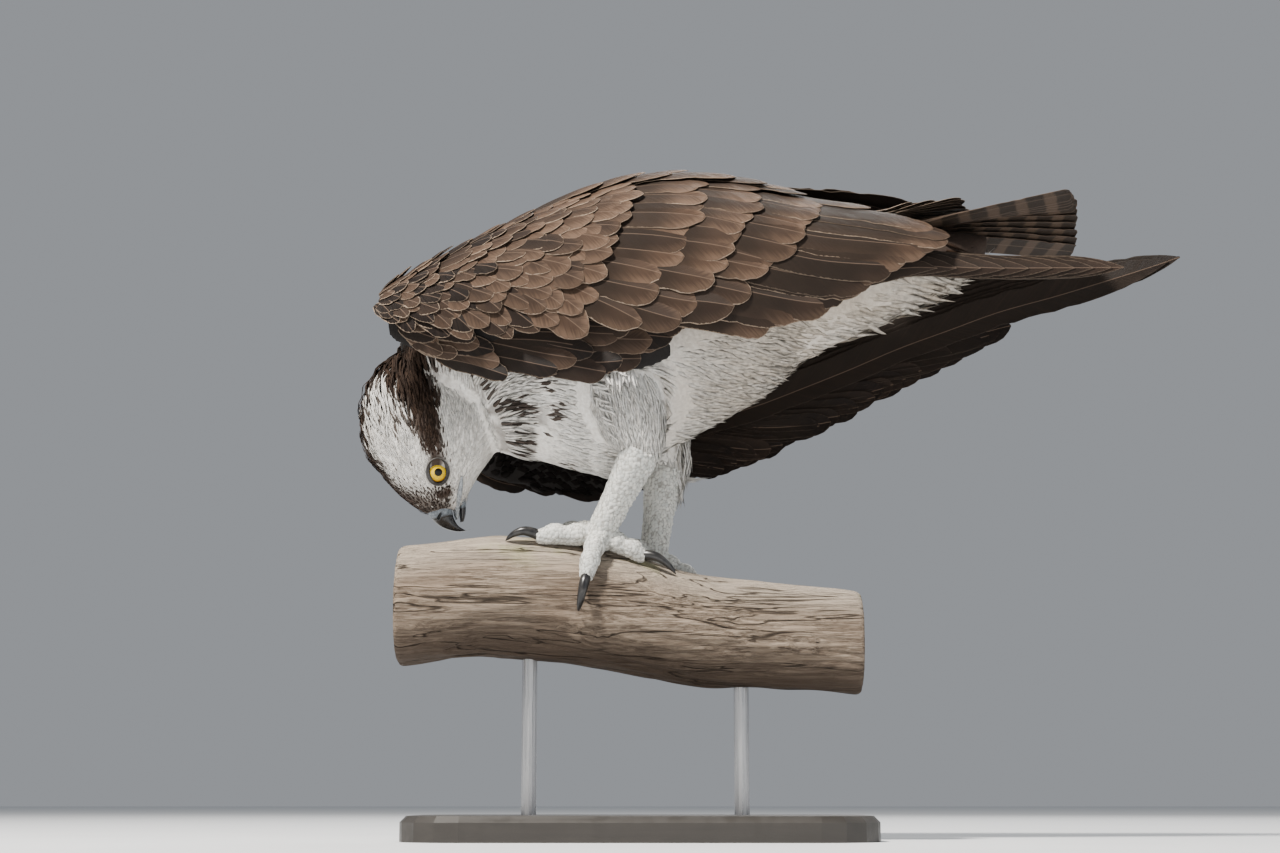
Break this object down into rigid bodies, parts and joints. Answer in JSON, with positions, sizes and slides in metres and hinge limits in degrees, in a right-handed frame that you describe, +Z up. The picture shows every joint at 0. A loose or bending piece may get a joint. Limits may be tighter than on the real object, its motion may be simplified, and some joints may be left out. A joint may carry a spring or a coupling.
{
  "type": "osprey",
  "caption": "Life-size still osprey bowed forward to feed, wings folded, gripping a short cut length of branch on a plain flat display stand",
  "frame": {"origin": "middle of the underside of the stand's base plate", "axes": "+Z up, the bird faces -X with its tail towards +X, its left side is towards -Y"},
  "size_m": [0.5599, 0.1826, 0.4432],
  "materials": {
    "stand": "satin dark paint on a wooden plate",
    "rod": "brushed",
    "branch": "weathered bare wood, sawn ends",
    "eye": "glossy yellow iris with a round black pupil",
    "horn": "smooth dark horn",
    "scaly_skin": "pale blue-grey, rough scales",
    "brown_feathers": "overlapping dark brown feathers with pale edges",
    "white_feathers": "soft white feathers, brown marks on breast and face"
  },
  "bodies": {
    "root": {"bill_lower": "horn", "bill_upper": "horn", "claw_left_hind": "horn", "claw_left_inner": "horn", "claw_left_middle": "horn", "claw_left_outer": "horn", "claw_right_hind": "horn", "claw_right_inner": "horn", "claw_right_middle": "horn", "claw_right_outer": "horn", "eye_left": "eye", "eye_right": "eye", "foot_left": "scaly_skin", "foot_right": "scaly_skin", "head": "white_feathers", "neck": "white_feathers", "stand_base": "stand", "stand_perch": "branch", "stand_rod_1": "rod", "stand_rod_2": "rod", "tail": "brown_feathers", "tarsus_left": "scaly_skin", "tarsus_right": "scaly_skin", "thigh_left": "white_feathers", "thigh_right": "white_feathers", "torso": "white_feathers", "wing_left_arm": "brown_feathers", "wing_left_hand": "brown_feathers", "wing_right_arm": "brown_feathers", "wing_right_hand": "brown_feathers"}
  },
  "joints": []
}
